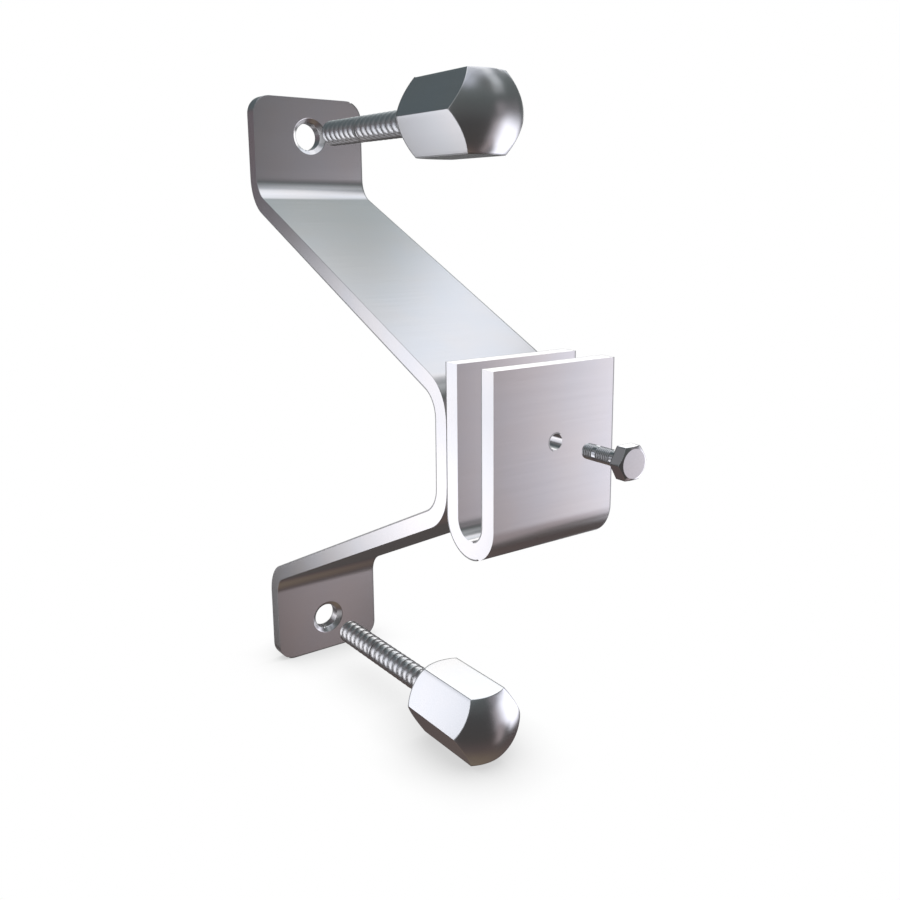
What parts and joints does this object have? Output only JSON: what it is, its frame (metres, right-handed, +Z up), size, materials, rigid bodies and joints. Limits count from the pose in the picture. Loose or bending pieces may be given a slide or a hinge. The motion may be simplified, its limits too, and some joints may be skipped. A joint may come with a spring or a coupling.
{
  "type": "bridge bracket",
  "caption": "Flat steel bar bent into a wall bridge, with a U channel that grips a panel's edge, a clamp screw and crowned hexagon wall bolts drawn out of their holes.",
  "frame": {"origin": "on the wall plane, which is the plane of both feet's back faces, midway between the centres of the two wall holes", "axes": "+Z up, +Y into the wall, +X along the bar's width, to the right when the bracket is seen from the front"},
  "size_m": [0.04, 0.1615, 0.2],
  "materials": {
    "bracket_steel": "satin, fine grain along the bar's width",
    "bolt_steel": "bright satin, turned crown",
    "screw_steel": "dark satin"
  },
  "bodies": {
    "bracket": {"bridge_bar": "bracket_steel", "panel_channel": "bracket_steel"},
    "upper_bolt": {"upper_wall_bolt": "bolt_steel"},
    "lower_bolt": {"lower_wall_bolt": "bolt_steel"},
    "clamp": {"clamp_screw": "screw_steel"}
  },
  "joints": [
    {"name": "upper_bolt_travel", "type": "slide", "parent": "bracket", "child": "upper_bolt", "axis": [0, -1, 0], "range_m": [-0.0735, 0]},
    {"name": "lower_bolt_travel", "type": "slide", "parent": "bracket", "child": "lower_bolt", "axis": [0, -1, 0], "range_m": [-0.0735, 0]},
    {"name": "clamp_screw_travel", "type": "slide", "parent": "bracket", "child": "clamp", "axis": [0, -1, 0], "range_m": [-0.024, 0]}
  ]
}
